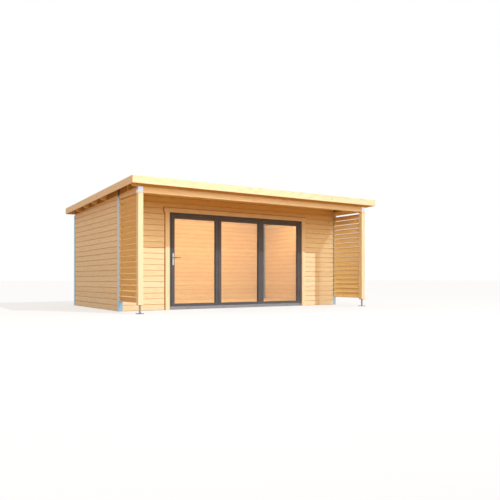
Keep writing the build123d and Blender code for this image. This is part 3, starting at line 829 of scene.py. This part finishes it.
fascia_timbers = {"left": timber_deep, "right": timber_deep, "front": timber_long, "back": timber_long}
for side, timber in fascia_timbers.items():
    node = side + "_fascia"
    fit(eased_copy(node, node + "_board", fascia_easing), timber, "pod", "spruce_planed", node)
next_row = (0, 0, 2 * screw_edge - fascia_height)
for side, way in (("front", -1), ("back", 1)):
    low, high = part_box(side + "_fascia")
    face = (low.y, high.y)[way > 0]
    top = low.z + fascia_height - screw_edge
    start = Vector((low.x + screw_edge, face, top))
    end = Vector((high.x - screw_edge, face, top))
    screw_line(side + "_fascia_screws", (0, way, 0), start, end, next_row)
for side, way in (("left", -1), ("right", 1)):
    node = side + "_fascia"
    low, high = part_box(node)
    face = (low.x, high.x)[way > 0]
    end_fall = screw_edge * roof_fall(node)
    start = Vector((face, low.y + screw_edge, high.z - screw_edge - end_fall))
    end = Vector((face, high.y - screw_edge, low.z + fascia_height - screw_edge + end_fall))
    screw_line(node + "_screws", (way, 0, 0), start, end, next_row)


# Door trim: planed spruce boards over the joint between the door frame and the wall, screwed to the boards
# behind. The head board runs past the uprights with a short ear at each end.
trim_easing = 0.003
trim_screw_end = 0.1
uprights = eased_copy("door_trim_sides", "door_trim_uprights", trim_easing)
fit(uprights, timber_upright, "pod", "spruce_planed", "door_trim_sides")
lintel = eased_copy("door_trim_head", "door_trim_lintel", trim_easing)
fit(lintel, timber_long, "pod", "spruce_planed", "door_trim_head")
side_low, side_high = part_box("door_trim_sides")
head_low, head_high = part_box("door_trim_head")
frame_low, frame_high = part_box("door_frame_head")
upright_middles = {"left": (side_low.x + frame_low.x) / 2, "right": (side_high.x + frame_high.x) / 2}
for side, middle in upright_middles.items():
    start = Vector((middle, side_low.y, side_low.z + trim_screw_end))
    end = Vector((middle, side_low.y, side_high.z - trim_screw_end))
    screw_line(side + "_trim_screws", (0, -1, 0), start, end)
head_middle = (head_low.z + head_high.z) / 2
start = Vector((head_low.x + trim_screw_end, head_low.y, head_middle))
end = Vector((head_high.x - trim_screw_end, head_low.y, head_middle))
screw_line("lintel_trim_screws", (0, -1, 0), start, end)


# Trim seal: a bead of brown sealant in the corner between the trim and the wall boards, smoothed with a
# wet tool to a dull skin, which keeps driven rain out. Its brown is painted shadow: the line of shade
# beside the trim's edges. It runs up both sides, round the ears and over the head.
# Painted shadow: the bead's brown tones stand for the shade line round the trim
shadow_line_colour = "#A8672B"
shadow_line_pale = "#B17235"
sealant_grain = 0.006
sealant_roughness = 0.6
sealant_relief = 0.0002
bead_size = 0.013
bead_round = 0.009
bead_steps = 3
shadow_line_sealant = speckled(
    "shadow_line_brown_sealant", shadow_line_colour, shadow_line_pale, sealant_grain, sealant_roughness, sealant_relief)


def shadow_line_bead(name, low, high, along, away):
    """A bead in the corner of a wall and a board, rounded on the side that looks away from both."""
    bead = block(name, low, high)
    middle = (Vector(low) + Vector(high)) / 2
    outwards = Vector(away) + Vector((0, -1, 0))

    def outer(edge):
        """A test for the long edge that touches neither the wall nor the board."""
        centre = (edge.verts[0].co + edge.verts[1].co) / 2
        return runs(along)(edge) and (centre - middle).dot(outwards) > bead_size / 2

    ease(bead, bead_round, bead_steps, outer)
    return bead


wall_face = side_high.y
bead_face = wall_face - bead_size
bead_foot = head_low.z - bead_size
bead_top = head_high.z + bead_size
beads = []
for way, side_line, head_line in ((-1, side_low.x, head_low.x), (1, side_high.x, head_high.x)):
    side_span = sorted((side_line, side_line + way * bead_size))
    head_span = sorted((head_line, head_line + way * bead_size))
    ear_span = sorted((head_line, side_line + way * bead_size))
    for name, (left, right), bottom, top, along, away in (
            ("trim_sealant", side_span, side_low.z, head_low.z, "Z", (way, 0, 0)),
            ("ear_end_sealant", head_span, bead_foot, bead_top, "Z", (way, 0, 0)),
            ("ear_sealant", ear_span, bead_foot, head_low.z, "X", (0, 0, -1))):
        beads.append(shadow_line_bead(name, (left, bead_face, bottom), (right, wall_face, top), along, away))
over_head = (head_low.x, bead_face, head_high.z)
beads.append(shadow_line_bead("head_sealant", over_head, (head_high.x, wall_face, bead_top), "X", (0, 0, 1)))
fit(join(beads), shadow_line_sealant, "pod", "roof_membrane")


# Door frame and threshold: aluminium extrusions set in the doorway. The frame is powder coated in
# anthracite, a fine matt skin, and the threshold is left bare, with a row of coated drain caps.
anthracite = "#54565A"
anthracite_pale = "#5F6165"
powder_grain = 0.002
powder_roughness = 0.45
powder_relief = 0.0003
powder_gloss = 0.2
bar_easing = 0.0015
sill_colour = "#A19FA3"
drain_length = 0.034
drain_proud = 0.004
drain_height = 0.009
drain_lift = 0.02
drain_easing = 0.0015
drain_steps = 2
drain_count = 4
powder_coat = speckled(
    "anthracite_powder_coat", anthracite, anthracite_pale, powder_grain, powder_roughness, powder_relief,
    powder_gloss)
for node in ("door_frame_jambs", "door_frame_head"):
    fit(eased_copy(node, node + "_bars", bar_easing), powder_coat, "pod", "anthracite_aluminium", node)
long_lines = (1 / die_line_length, 1 / die_line_width, 1 / die_line_width)
sill_aluminium = bare_metal("sill_aluminium", sill_colour, aluminium_roughness, long_lines)
threshold = eased_copy("door_threshold", "threshold_bar", bar_easing)
fit(threshold, sill_aluminium, "pod", "bare_aluminium", "door_threshold")
low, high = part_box("door_threshold")
drain_spacing = (high.x - low.x) / drain_count
first_drain = low.x + drain_spacing / 2
drains = block(
    "sill_drain_caps",
    (first_drain - drain_length / 2, low.y - drain_proud, low.z + drain_lift),
    (first_drain + drain_length / 2, low.y, low.z + drain_lift + drain_height))
ease(drains, drain_easing, drain_steps, sharp)
repeat(drains, drain_count, (drain_spacing, 0, 0))
fit(drains, powder_coat, "pod", "anthracite_aluminium")


# Door leaves: the same coated bars, two stiles and two rails round each pane, hung on coated hinges. The
# left leaf, which has the handle, swings open, and the other two stay shut.
for leaf, body in (("pass", "pass_door"), ("fixed", "pod")):
    for part in ("stiles", "rails"):
        node = f"{leaf}_leaf_{part}"
        fit(eased_copy(node, node + "_bars", bar_easing), powder_coat, body, "anthracite_aluminium", node)
hinge_bodies = {"pass_leaf_hinges": "pass_door", "middle_leaf_hinges": "pod", "folding_hinges": "pod"}
for node, body in hinge_bodies.items():
    fit(eased_copy(node, node + "_metal", 0), powder_coat, body, "anthracite_aluminium", node)


# Glass: each leaf holds a sealed unit of two clear float panes with a trace of green, kept apart by a dark
# spacer at their edges and set in the bars' grooves with dull black rubber gaskets. The arrises of the
# panes are ground.
glass_tint = "#F4F9F7"
glass_roughness = 0.0
glass_ior = 1.52
glass_bite = 0.012
pane_thickness = 0.004
pane_arris = 0.0007
spacer_colour = "#2B2C2E"
spacer_roughness = 0.5
spacer_relief = 0.0001
spacer_width = 0.015
rubber_colour = "#17181A"
rubber_pale = "#222326"
rubber_grain = 0.003
rubber_roughness = 0.7
rubber_relief = 0.0002
gasket_width = 0.0035
gasket_thickness = 0.004
gasket_easing = 0.001
gasket_steps = 2

clear_glass = bpy.data.materials.new("clear_float_glass")
clear_glass.use_nodes = True
tree = clear_glass.node_tree
shader = tree.nodes["Principled BSDF"]
shader.inputs["Base Color"].default_value = linear(glass_tint)
shader.inputs["Roughness"].default_value = glass_roughness
shader.inputs["IOR"].default_value = glass_ior
shader.inputs["Transmission Weight"].default_value = 1
path = add_node(tree, "ShaderNodeLightPath")
clear = add_node(tree, "ShaderNodeBsdfTransparent", {"Color": linear(glass_tint)})
glass_sides = {0: path.outputs["Is Shadow Ray"], 1: shader.outputs[0], 2: clear.outputs[0]}
both = add_node(tree, "ShaderNodeMixShader", glass_sides)
tree.links.new(both.outputs[0], tree.nodes["Material Output"].inputs["Surface"])


def strip_loop(name, low, high, width):
    """A rectangular loop of strip in the plane of a pane, as a gasket or a spacer is laid round it."""
    piece = block(name, low, high)
    open_up(piece, "faces", lambda face: abs(face.normal.y) > parallel)
    bpy.ops.mesh.inset(thickness=width)
    bpy.ops.mesh.bridge_edge_loops()
    bpy.ops.mesh.select_all(action="SELECT")
    bpy.ops.mesh.normals_make_consistent(inside=False)
    close_up()
    return piece


spacer_black = speckled(
    "black_spacer_bar", spacer_colour, rubber_pale, rubber_grain, spacer_roughness, spacer_relief)
rubber = speckled(
    "black_rubber", rubber_colour, rubber_pale, rubber_grain, rubber_roughness, rubber_relief)
pass_low, pass_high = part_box("pass_leaf_glass")
fixed_low, fixed_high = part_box("fixed_leaf_glass")
pane_width = pass_high.x - pass_low.x
leaf_panes = {
    "pass_leaf": ("pass_door", [(pass_low, pass_high)]),
    "fixed_leaf": ("pod", [
        (fixed_low, Vector((fixed_low.x + pane_width, fixed_high.y, fixed_high.z))),
        (Vector((fixed_high.x - pane_width, fixed_low.y, fixed_low.z)), fixed_high),
    ]),
}
for leaf, (body, places) in leaf_panes.items():
    panes, spacers, gaskets = [], [], []
    for low, high in places:
        cavity_low = Vector((low.x, low.y + pane_thickness, low.z))
        cavity_high = Vector((high.x, high.y - pane_thickness, high.z))
        panes.append(block(leaf + "_panes", low, (high.x, cavity_low.y, high.z)))
        panes.append(block(leaf + "_inner_pane", (low.x, cavity_high.y, low.z), high))
        spacers.append(strip_loop(leaf + "_spacers", cavity_low, cavity_high, spacer_width))
        sight_low = low + Vector((glass_bite, -gasket_thickness, glass_bite))
        sight_high = high + Vector((-glass_bite, gasket_thickness, -glass_bite))
        outer_high = (sight_high.x, low.y, sight_high.z)
        inner_low = (sight_low.x, high.y, sight_low.z)
        gaskets.append(strip_loop(leaf + "_gaskets", sight_low, outer_high, gasket_width))
        gaskets.append(strip_loop(leaf + "_inner_gasket", inner_low, sight_high, gasket_width))
    pane_set = join(panes)
    ease(pane_set, pane_arris, 1, lambda edge: True)
    fit(pane_set, clear_glass, body, "clear_glass", leaf + "_glass")
    fit(join(spacers), spacer_black, body, "anthracite_aluminium")
    gasket_set = join(gaskets)
    ease(gasket_set, gasket_easing, gasket_steps, sharp)
    fit(gasket_set, rubber, body, "roof_membrane")


# Handle: a long plate and a lever on each face of the pass leaf, satin stainless steel on one spindle.
# The plate is brushed upright to a pale sheen, and the lever along its length; the lever is a darker grey.
steel_colour = "#D6D8D9"
lever_colour = "#7D7F82"
steel_roughness = 0.34
upright_brush = (1 / brush_width, 1 / brush_width, 1 / brush_length)
plate_steel = bare_metal("satin_stainless_plate", steel_colour, steel_roughness, upright_brush)
lever_steel = bare_metal("satin_stainless_lever", lever_colour, steel_roughness, long_brush)
plates = eased_copy("handle_plates", "handle_plate_pair", 0)
fit(plates, plate_steel, "pass_door", "satin_steel", "handle_plates")
fit(eased_copy("lever_handles", "lever_pair", 0), lever_steel, "lever", "satin_steel", "lever_handles")
paint("lever_spindle", lever_steel)


# Key cylinder and sleeve bolts: steel bars through both plates, the cylinder under the lever and a bolt
# near each end. Each face has a ground rim and a sunk middle.
cylinder_radius = 0.0085
cylinder_proud = 0.003
cylinder_drop = 0.092
sleeve_radius = 0.0036
sleeve_proud = 0.0008
sleeve_inset = 0.013
bar_sides = 32
bar_rim = 0.0006
bar_steps = 2
core_share = 0.3
core_depth = 0.0008
low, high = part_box("handle_plates")
spindle_low, spindle_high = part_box("lever_spindle")
spindle = (spindle_low + spindle_high) / 2
through_bars = (
    ("key_cylinder", spindle.z - cylinder_drop, cylinder_radius, cylinder_proud),
    ("upper_sleeve_bolt", high.z - sleeve_inset, sleeve_radius, sleeve_proud),
    ("lower_sleeve_bolt", low.z + sleeve_inset, sleeve_radius, sleeve_proud),
)
for name, height, radius, proud in through_bars:
    start = (spindle.x, low.y - proud, height)
    bar = turned(name, start, (0, 1, 0), radius, high.y - low.y + 2 * proud, bar_sides)
    ease(bar, min(bar_rim, proud / 2), bar_steps, sharp)
    open_up(bar, "faces", lambda face: abs(face.normal.y) > parallel)
    bpy.ops.mesh.inset(thickness=radius * core_share)
    bpy.ops.mesh.inset(thickness=core_depth / 2, depth=-min(core_depth, proud / 2))
    close_up()
    bpy.ops.object.shade_smooth_by_angle(angle=math.radians(smooth_angle))
    fit(bar, plate_steel, "pass_door", "satin_steel")
